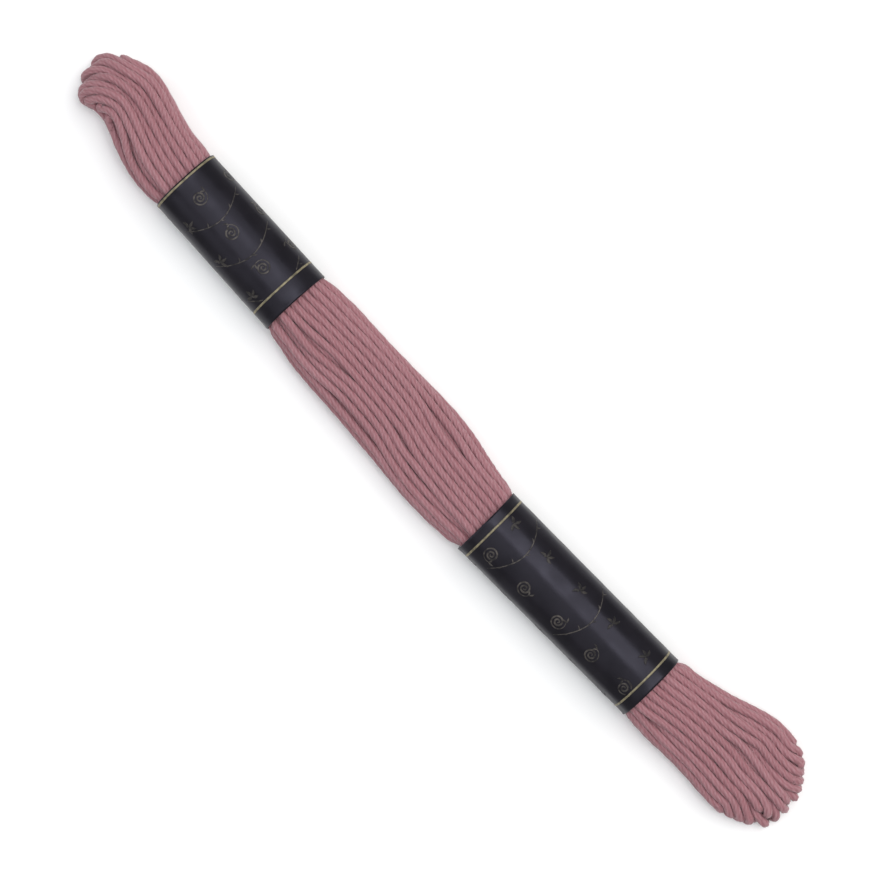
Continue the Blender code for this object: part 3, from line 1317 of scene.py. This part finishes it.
@dataclass
class BandSurface:
    """The outside of a paper band, read from its node's two mouths.

    Flat places on the paper are s, from the -X mouth along the band, and t, round it
    from the middle of its top, towards +Y. The seam is under the skein.

    Attributes:
        node: the band's CAD node.
        creases: soft folds that the floss presses into the paper, in rising order.
        flatness: how flat the paper lies between two folds.
        fold_reach: half the width over which a fold is rounded.
        samples: fineness with which the way round is measured.
        start: x and y of the -X mouth's middle.
        end: x and y of the +X mouth's middle.
        length: distance between the mouths.
        heading: x and y of the way along the band, of length one.
        side: the same across it, towards +Y.
        half_widths: half the band's width at each mouth.
        half_height: half the height of its oval.
        angles: angles round the oval, from the top towards +Y.
        ways: how far round the band each of them lies.
        girth: length once round the band.
    """

    node: str
    creases: tuple[Crease, ...]
    flatness: float = 0.45
    fold_reach: float = 0.4
    samples: int = 2001
    start: np.ndarray = field(init=False)
    end: np.ndarray = field(init=False)
    length: float = field(init=False)
    heading: np.ndarray = field(init=False)
    side: np.ndarray = field(init=False)
    half_widths: list[float] = field(init=False)
    half_height: float = field(init=False)
    angles: np.ndarray = field(init=False)
    ways: np.ndarray = field(init=False)
    girth: float = field(init=False)

    def __post_init__(self) -> None:
        """Measures the mouths and the way round between them."""
        points = np.array([v.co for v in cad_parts[self.node].data.vertices]) / MM
        middle = points[:, 0].mean()
        mouths = [points[points[:, 0] < middle, :2], points[points[:, 0] > middle, :2]]
        self.start, self.end = (m.min(axis=0) / 2 + m.max(axis=0) / 2 for m in mouths)
        run = self.end - self.start
        self.length = float(np.linalg.norm(run))
        self.heading = run / self.length
        self.side = np.array((-self.heading[1], self.heading[0]))
        self.half_widths = [float(np.ptp(m @ self.side)) / 2 for m in mouths]
        self.half_height = (float(points[:, 2].max()) + SINK) / 2
        self.angles = np.linspace(-math.pi, math.pi, self.samples)
        halfway = np.full(self.samples, self.length / 2)
        ways = lengths_along(np.stack(self._oval(halfway, self.angles), axis=1))
        self.girth = float(ways[-1])
        self.ways = ways - self.girth / 2

    def _oval(self, s: np.ndarray, angle: np.ndarray) -> tuple[np.ndarray, np.ndarray]:
        """Finds places across and up on the plain oval, flat below."""
        half_width = np.interp(s, (0.0, self.length), self.half_widths)
        across = half_width * signed_power(np.sin(angle), 2 / SECTION_POWER)
        up = self.half_height * (signed_power(np.cos(angle), 2 / SECTION_POWER) + 1) - SINK
        return across, np.maximum(up, 0.0)

    def _round(self, s: np.ndarray, t: np.ndarray) -> tuple[np.ndarray, np.ndarray]:
        """Finds places across and up on the oval from the way round it."""
        return self._oval(s, np.interp(t, self.ways, self.angles))

    def _creased(self, s: np.ndarray, t: np.ndarray) -> tuple[np.ndarray, np.ndarray]:
        """Finds places across and up on the oval with its sides flattened between folds.

        Args:
            s: places along the band.
            t: places round it.

        Returns:
            The places across and up, where each fold is still sharp.
        """
        across, up = self._round(s, t)
        lean = s / self.length - 0.5
        lines = [
            float(np.interp(math.radians(crease.at), self.angles, self.ways)) + crease.skew * lean
            for crease in self.creases
        ]
        for low, high in zip(lines[:-1], lines[1:]):
            share = (t - low) / (high - low)
            inside = (share >= 0) & (share < 1)
            low_across, low_up = self._round(s, low)
            high_across, high_up = self._round(s, high)
            flat_across = low_across + share * (high_across - low_across)
            flat_up = low_up + share * (high_up - low_up)
            across = np.where(inside, across + self.flatness * (flat_across - across), across)
            up = np.where(inside, up + self.flatness * (flat_up - up), up)
        return across, up

    def _point(self, s: np.ndarray, t: np.ndarray) -> np.ndarray:
        """Finds points of the paper's outside, with its folds rounded, in the frame's axes."""
        reach = (-self.fold_reach, 0.0, self.fold_reach)
        sections = [self._creased(s, t + shift) for shift in reach]
        across = sum(section[0] for section in sections) / len(reach)
        up = sum(section[1] for section in sections) / len(reach)
        flat = self.start + s[:, None] * self.heading + across[:, None] * self.side
        return np.concatenate((flat, np.maximum(up, 0.0)[:, None]), axis=1)

    def place(self, s: np.ndarray, t: np.ndarray, lift: np.ndarray) -> np.ndarray:
        """Wraps flat places on the paper round the skein.

        Args:
            s: places along the band.
            t: places round it, which may run on past the seam.
            lift: how far outside the paper's outside each point lies.

        Returns:
            Rows of x, y and z.
        """
        nudge = 0.04
        wrapped = (t + self.girth / 2) % self.girth - self.girth / 2
        point = self._point(s, wrapped)
        inner = np.clip(wrapped, -self.girth / 2 + nudge, self.girth / 2 - nudge)
        along = self._point(s + nudge, inner) - self._point(s - nudge, inner)
        around = self._point(s, inner + nudge) - self._point(s, inner - nudge)
        normal = np.cross(along, around)
        normal /= np.linalg.norm(normal, axis=1)[:, None]
        return point + normal * lift[:, None]


@dataclass
class PaperBand:
    """One paper band: a flat strip wrapped round the skein and glued underneath.

    Attributes:
        surface: the band's outside.
        thickness: the paper's thickness.
        overlap: how far its glued end laps over its start.
        lap_gap: the glue's thickness.
        lap_ease: how far past the overlap the start takes to come up.
        flare: how far the paper stands out at its mouths.
        flare_reach: how far from a mouth it starts to.
        flare_wave: share of the flare that comes and goes round a mouth.
        flare_wave_ways: how fast it does so round the band and along it.
        flare_end: how far from the seam, under the skein, the flare ends.
        flare_ease: how far it takes to end.
        grid_step: spacing of the paper's corners.
        wave_start: where the flare's wave starts, in radians.
    """

    surface: BandSurface
    thickness: float = 0.15
    overlap: float = 4.0
    lap_gap: float = 0.02
    lap_ease: float = 2.5
    flare: float = 0.1
    flare_reach: float = 1.4
    flare_wave: float = 0.4
    flare_wave_ways: tuple[float, float] = (1.7, 0.2)
    flare_end: float = 5.0
    flare_ease: float = 4.0
    grid_step: float = 0.3
    wave_start: float = 5.0

    @property
    def flat_size(self) -> tuple[float, float]:
        """Width along the skein and length round it, before it was wrapped."""
        return self.surface.length, self.surface.girth + self.overlap

    def lift(self, s: np.ndarray, t: np.ndarray) -> np.ndarray:
        """Says how far the paper's outside stands out of the plain wrap.

        Args:
            s: places along the band.
            t: places round it.

        Returns:
            The lift, below zero where the start lies under the glued end.
        """
        half = self.surface.girth / 2
        under = 1.0 - smooth_step((t + half - self.overlap) / self.lap_ease)
        from_mouth = np.minimum(s, self.surface.length - s)
        out = np.clip(1.0 - from_mouth / self.flare_reach, 0.0, 1.0) ** 2
        by_round, by_length = self.flare_wave_ways
        swing = np.sin(t * by_round + s * by_length + self.wave_start)
        wave = 1.0 - self.flare_wave + self.flare_wave * swing
        above = smooth_step((half - np.abs(t) - self.flare_end) / self.flare_ease)
        return self.flare * out * wave * above - (self.thickness + self.lap_gap) * under

    def build(self, finish: PaperFinish) -> bpy.types.Object:
        """Makes the band's paper.

        Args:
            finish: the paper's finish.

        Returns:
            The piece.
        """
        width, length = self.flat_size
        half = 0.5
        shape = bmesh.new()
        uv = shape.loops.layers.uv.new("UVMap")
        columns, rows = (round(size / self.grid_step) for size in (width, length))
        bmesh.ops.create_grid(shape, x_segments=columns, y_segments=rows, size=half)
        flat = np.array([vert.co for vert in shape.verts]) + half
        for face in shape.faces:
            for loop in face.loops:
                loop[uv].uv = (loop.vert.co.x + half, loop.vert.co.y + half)
        s, t = flat[:, 0] * width, flat[:, 1] * length - self.surface.girth / 2
        placed = self.surface.place(s, t, self.lift(s, t)) * MM
        for vert, co in zip(shape.verts, placed):
            vert.co = co
        mesh = bpy.data.meshes.new(self.surface.node + "_paper")
        shape.to_mesh(mesh)
        shape.free()
        mesh.shade_smooth()
        mesh.materials.append(finish.material())
        piece = new_object(mesh.name, mesh)
        wall = piece.modifiers.new("paper_wall", "SOLIDIFY")
        wall.thickness = self.thickness * MM
        wall.offset = -1.0
        fix_to_frame(piece)
        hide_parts(self.surface.node)
        log.info("%s: flat %.1f x %.1f mm", mesh.name, width, length)
        return piece


# ----------------------------------------------------------------------- gold print


class Stroke(NamedTuple):
    """A printed stroke on the flat paper."""

    points: np.ndarray    # rows of s and t
    width: float
    taper: Taper
    ink: Ink = Ink.SCROLL


class Leaf(NamedTuple):
    """The size of a printed leaf, and which way it grows from its foot."""

    way: float            # radians from the way along the band
    length: float
    width: float


@dataclass
class GoldPrint:
    """The gold print of a band: two border lines, vines, rosettes and leaves.

    Attributes:
        band: the band that it is printed on.
        border_insets: how far each border line lies from its mouth.
        rosette_start: place along the band of the first rosette.
        rosette_rows: places round the band of the rows of rosettes.
        leaf_rows: places round the band of the rows of leaves.
        leaf_shift: how far along the band the leaves lie from the rosettes.
        vine_starts: places along the band of the vines.
        vine_middle: place round the band of the vines' bow.
        repeat: spacing of the motifs along the band.
        border_width: width of a border line.
        border_clear: how far past the hidden start of the paper a border line begins.
        rosette_radius: radius of a rosette's scroll.
        rosette_turns: how often the scroll goes round.
        rosette_spin: radians that each rosette is turned on from the last one.
        rosette_leaves: the two leaves at a scroll's tail.
        sprig_spin: radians that each sprig is turned on from the last one.
        sprig_leaves: the leaves of a sprig.
        berry: the berry of a sprig.
        berry_away: how far from the sprig's middle the berry's foot is.
        vine_bow: how far a vine bows out along the band.
        vine_reach: how far round the band it reaches from its middle.
        vine_leaf: a leaf on a vine.
        vine_leaf_lean: radians that it leans along the band, to one side or the other.
        vine_leaf_steps: points of the stem from one leaf to the next.
        line_width: width of a vine's stem.
        scroll_width: width of a scroll's line.
        point_step: spacing of the points of a long line.
        seam_clear: how far from the seam every motif stops.
        ink: the ink's thickness.
    """

    band: PaperBand
    border_insets: tuple[float, float]
    rosette_start: float
    rosette_rows: tuple[float, ...]
    leaf_rows: tuple[float, ...]
    leaf_shift: float
    vine_starts: tuple[float, ...]
    vine_middle: float
    repeat: float = 7.2
    border_width: float = 0.34
    border_clear: float = 1.0
    rosette_radius: float = 1.3
    rosette_turns: float = 2.3
    rosette_spin: float = 0.9
    rosette_leaves: tuple[Leaf, ...] = (Leaf(1.1, 1.0, 0.3), Leaf(2.2, 0.8, 0.3))
    sprig_spin: float = 0.7
    sprig_leaves: tuple[Leaf, ...] = tuple(Leaf(way, 1.25, 0.5) for way in (-0.5, 0.5, 1.6, 3.1))
    berry: Leaf = Leaf(0.5, 0.35, 0.36)
    berry_away: float = 0.5
    vine_bow: float = 2.7
    vine_reach: float = 6.0
    vine_leaf: Leaf = Leaf(math.pi / 2, 0.8, 0.22)
    vine_leaf_lean: float = 0.8
    vine_leaf_steps: int = 9
    line_width: float = 0.2
    scroll_width: float = 0.32
    point_step: float = 0.25
    seam_clear: float = 0.4
    ink: float = 0.012

    def strokes(self) -> list[Stroke]:
        """Draws every stroke on the flat paper."""
        width, _ = self.band.flat_size
        low, high = self.border_insets[0], width - self.border_insets[1]
        motifs: list[Stroke] = []
        for number in range(-1, int(width / self.repeat) + 2):
            s = self.rosette_start + number * self.repeat
            for t in self.rosette_rows:
                motifs += self._rosette(s, t, number * self.rosette_spin + t)
            for t in self.leaf_rows:
                motifs += self._sprig(s + self.leaf_shift, t, number * self.sprig_spin)
        for s in self.vine_starts:
            motifs += self._vine(s)
        strokes = [self._border(low), self._border(high)]
        for stroke in motifs:
            strokes += self._clipped(stroke, low + self.border_width, high - self.border_width)
        return strokes

    def _border(self, s: float) -> Stroke:
        """Draws a straight line all the way round the band."""
        overlap, half = self.band.overlap, self.band.surface.girth / 2
        t = np.arange(overlap - half + self.border_clear, half + overlap, self.point_step)
        line = np.stack((np.full_like(t, s), t), axis=1)
        return Stroke(line, self.border_width, Taper.EVEN, Ink.BORDER)

    def _rosette(self, s: float, t: float, turn: float) -> list[Stroke]:
        """Draws a curled scroll with two small leaves at its tail."""
        count, core, opening = 60, 0.14, 1.3
        angle = np.linspace(0.0, 2 * math.pi * self.rosette_turns, count)
        radius = self.rosette_radius * (core + (1.0 - core) * (angle / angle[-1]) ** opening)
        round_s, round_t = radius * np.cos(angle + turn), radius * np.sin(angle + turn)
        spiral = np.stack((s + round_s, t + round_t), axis=1)
        tail = float(angle[-1]) + turn
        leaves = [self._leaf(spiral[-1], tail, leaf) for leaf in self.rosette_leaves]
        return [Stroke(spiral, self.scroll_width, Taper.ENDS), *leaves]

    def _leaf(
        self, foot: Sequence[float], turn: float, leaf: Leaf, ink: Ink = Ink.SCROLL
    ) -> Stroke:
        """Draws a pointed leaf.

        Args:
            foot: s and t of the point that it grows from.
            turn: radians that it is turned on from its own way.
            leaf: its size and way.
            ink: the ink that it is printed in.

        Returns:
            The leaf's stroke.
        """
        count, bend = 7, 0.25
        share = np.linspace(0.0, 1.0, count)
        way = leaf.way + turn + bend * share**2
        out = leaf.length * share
        points = np.stack((foot[0] + out * np.cos(way), foot[1] + out * np.sin(way)), axis=1)
        return Stroke(points, leaf.width, Taper.LEAF, ink)

    def _sprig(self, s: float, t: float, turn: float) -> list[Stroke]:
        """Draws four leaves and a berry from one point."""
        leaves = [self._leaf((s, t), turn, leaf, Ink.LEAF) for leaf in self.sprig_leaves]
        away = self.berry.way + turn
        foot = (s - self.berry_away * math.cos(away), t - self.berry_away * math.sin(away))
        return [*leaves, self._leaf(foot, turn, self.berry, Ink.LEAF)]

    def _vine(self, s: float) -> list[Stroke]:
        """Draws a bowed stem round the band, with leaves along it."""
        bare_start, bare_end = 6, 4
        t = np.arange(-self.vine_reach, self.vine_reach, self.point_step)
        bow = self.vine_bow * np.cos(math.pi * t / (2 * self.vine_reach))
        line = np.stack((s + bow, self.vine_middle + t), axis=1)
        strokes = [Stroke(line, self.line_width, Taper.ENDS)]
        for index in range(bare_start, len(t) - bare_end, self.vine_leaf_steps):
            side = 1.0 if index % 2 else -1.0
            strokes.append(self._leaf(line[index], self.vine_leaf_lean * side, self.vine_leaf))
        return strokes

    def _clipped(self, stroke: Stroke, low: float, high: float) -> list[Stroke]:
        """Cuts a stroke off at the border lines.

        Args:
            stroke: the stroke.
            low: the lowest place along the band that is kept.
            high: the highest.

        Returns:
            What is left of it.
        """
        fewest_points = 4
        seam = self.band.surface.girth / 2 - self.seam_clear
        s, t = stroke.points[:, 0], stroke.points[:, 1]
        kept = (s > low) & (s < high) & (np.abs(t) < seam)
        if kept.all():
            return [stroke]
        if stroke.taper is Taper.LEAF:
            return []
        changes = np.flatnonzero(np.diff(np.concatenate(([0], kept.astype(int), [0]))))
        runs = [stroke.points[a:b] for a, b in zip(changes[::2], changes[1::2])]
        return [stroke._replace(points=run) for run in runs if len(run) >= fewest_points]

    def _widths(self, stroke: Stroke) -> np.ndarray:
        """Finds a stroke's half width at each of its points."""
        blunt, quick = 0.04, 0.35
        share = np.linspace(0.0, 1.0, len(stroke.points))
        if stroke.taper is Taper.EVEN:
            return np.full_like(share, stroke.width / 2)
        swell = np.sin(math.pi * np.clip(share, blunt, 1.0 - blunt))
        power = 1.0 if stroke.taper is Taper.LEAF else quick
        return stroke.width / 2 * swell**power

    def build(self, inks: Sequence[GoldFinish]) -> bpy.types.Object:
        """Makes the print as thin ribbons of ink on the wrapped paper.

        Args:
            inks: the inks, in the order of Ink.

        Returns:
            The piece.
        """
        name = self.band.surface.node + "_print"
        curve = bpy.data.curves.new(name, "CURVE")
        curve.dimensions = "3D"
        curve.bevel_depth = 1.0
        curve.bevel_resolution = 1
        curve.use_fill_caps = True
        for ink in inks:
            curve.materials.append(ink.material())
        for stroke in self.strokes():
            spline = curve.splines.new("POLY")
            spline.points.add(len(stroke.points) - 1)
            rows = np.zeros((len(stroke.points), 4))
            rows[:, :2], rows[:, 3] = stroke.points, 1.0
            spline.points.foreach_set("co", rows.ravel())
            spline.points.foreach_set("radius", self._widths(stroke))
            spline.material_index = stroke.ink.value
        mesh = drawn_mesh(name, curve)
        self._wrap(mesh)
        weld(mesh)
        piece = new_object(name, mesh)
        fix_to_frame(piece)
        log.info("%s: %d faces", name, len(mesh.polygons))
        return piece

    def _wrap(self, mesh: bpy.types.Mesh) -> None:
        """Lays flat strokes on the wrapped paper, pressed thin.

        Args:
            mesh: the strokes, drawn flat in millimetres of s and t.
        """
        middle, half = 0.6, 0.5
        flat = np.zeros(len(mesh.vertices) * 3)
        mesh.vertices.foreach_get("co", flat)
        s, t, up = flat.reshape(-1, 3).T
        lift = self.band.lift(s, t) + self.ink * (middle + half * np.sign(up))
        placed = self.band.surface.place(s, t, lift) * MM
        mesh.vertices.foreach_set("co", placed.ravel())


# --------------------------------------------------------------------------- studio


@dataclass
class Softbox:
    """A soft square light.

    Attributes:
        name: the light's name.
        place: where it hangs, in metres from the skein.
        size: the length of its side, in metres.
        power: its power, in watts.
        tint: its colour.
        in_gloss: whether glossy surfaces mirror it.
    """

    name: str
    place: tuple[float, float, float]
    size: float
    power: float
    tint: tuple[float, float, float]
    in_gloss: bool = True


@dataclass
class Studio:
    """The pale floor, the lights and the camera.

    Attributes:
        roll: how far the camera is turned about the way it looks, in degrees.
        framed: how much of the surface the picture's width takes in, in metres.
        lens: the camera's focal length, in millimetres.
        sensor: the width of the camera's sensor, in millimetres.
        nearest: how near the camera still sees, in metres.
        floor_size: the length of the floor's side, in metres.
        floor_gap: how far below the skein the floor lies, in metres.
        world: how strong the light from all round is.
        lights: the lights.
    """

    roll: float = 48.0
    framed: float = 0.136
    lens: float = 110.0
    sensor: float = 36.0
    nearest: float = 10 * MM
    floor_size: float = 4.0
    floor_gap: float = 0.02 * MM
    world: float = 0.4
    lights: Sequence[Softbox] = (
        Softbox("key_light", (0.25, 0.62, 0.72), 1.2, 9.4, (1.0, 0.985, 0.96), in_gloss=False),
        Softbox("top_light", (0.02, 0.09, 0.85), 0.4, 2.3, (0.95, 0.97, 1.0)),
        Softbox("fill_light", (-0.45, -0.35, 0.5), 0.6, 1.8, (0.93, 0.96, 1.0)),
    )

    def build(self, finish: FloorFinish) -> None:
        """Makes the whole studio.

        Args:
            finish: the floor's finish.
        """
        self._floor(finish)
        for light in self.lights:
            self._light(light)
        self._camera()
        world = bpy.context.scene.world or bpy.data.worlds.new("studio")
        bpy.context.scene.world = world
        world.use_nodes = True
        background = world.node_tree.nodes["Background"]
        background.inputs["Color"].default_value = srgb(255, 255, 255)
        background.inputs["Strength"].default_value = self.world
        bpy.context.scene.view_settings.view_transform = "Standard"

    def _floor(self, finish: FloorFinish) -> None:
        """Makes the floor, just under the skein."""
        shape = bmesh.new()
        bmesh.ops.create_grid(shape, x_segments=1, y_segments=1, size=self.floor_size / 2)
        mesh = bpy.data.meshes.new("floor")
        shape.to_mesh(mesh)
        shape.free()
        mesh.materials.append(finish.material())
        floor = new_object("floor", mesh)
        floor.location.z = -self.floor_gap

    def _light(self, light: Softbox) -> None:
        """Hangs a soft light that faces the skein."""
        lamp = bpy.data.lights.new(light.name, "AREA")
        lamp.shape, lamp.size = "SQUARE", light.size
        lamp.energy, lamp.color = light.power, light.tint
        hung = new_object(light.name, lamp)
        hung.location = light.place
        hung.rotation_euler = (-Vector(light.place)).to_track_quat("-Z", "Y").to_euler()
        hung.visible_glossy = light.in_gloss

    def _camera(self) -> None:
        """Hangs the camera square above the skein, with a long lens."""
        centre = (cad_low + cad_high) / 2
        lens = bpy.data.cameras.new("camera")
        lens.lens, lens.sensor_width = self.lens, self.sensor
        lens.clip_start = self.nearest
        camera = new_object("camera", lens)
        away = self.framed * self.lens / self.sensor
        camera.location = (centre.x, centre.y, away + centre.z)
        camera.rotation_euler = (0.0, 0.0, math.radians(self.roll))
        bpy.context.scene.camera = camera


# ----------------------------------------------------------------------------- main


def bands() -> list[tuple[PaperBand, GoldPrint]]:
    """Describes the two bands and their prints."""
    upper = PaperBand(
        BandSurface(
            "band_upper",
            (
                Crease(-84, 0.2), Crease(-62, -0.3), Crease(-40, 0.4), Crease(-18, 0.8),
                Crease(6, 0.5), Crease(32, -0.4), Crease(60, 0.2), Crease(86, 0.0),
            ),
            flatness=0.55,
            fold_reach=0.6,
        ),
    )
    lower = PaperBand(
        BandSurface(
            "band_lower",
            (
                Crease(-86, 0.0), Crease(-62, 0.5), Crease(-34, 0.2), Crease(2, -0.6),
                Crease(25, -0.4), Crease(44, 0.6), Crease(64, -0.2), Crease(86, 0.0),
            ),
            flatness=0.72,
        ),
        wave_start=9.0,
    )
    upper_print = GoldPrint(
        upper,
        border_insets=(0.35, 3.1),
        rosette_start=4.0,
        rosette_rows=(-0.1, 6.6, -9.6),
        leaf_rows=(-4.6, 10.6),
        leaf_shift=2.1,
        vine_starts=(6.0, 13.2, 20.4),
        vine_middle=0.0,
    )
    lower_print = GoldPrint(
        lower,
        border_insets=(1.7, 1.9),
        rosette_start=4.2,
        rosette_rows=(-3.1, 9.2),
        leaf_rows=(2.8, -8.2),
        leaf_shift=6.2,
        vine_starts=(5.2, 19.6),
        vine_middle=0.6,
    )
    return [(upper, upper_print), (lower, lower_print)]


def main() -> None:
    """Builds the skein and the studio, in order."""
    logging.basicConfig(level=logging.INFO, format="%(name)s: %(message)s")
    hank = FlossHank()
    hank.wind()
    hank.build(CottonFinish())
    for band, gold in bands():
        band.build(PaperFinish())
        gold.build(INKS)
    Studio().build(FloorFinish())


if __name__ == "__main__":
    main()
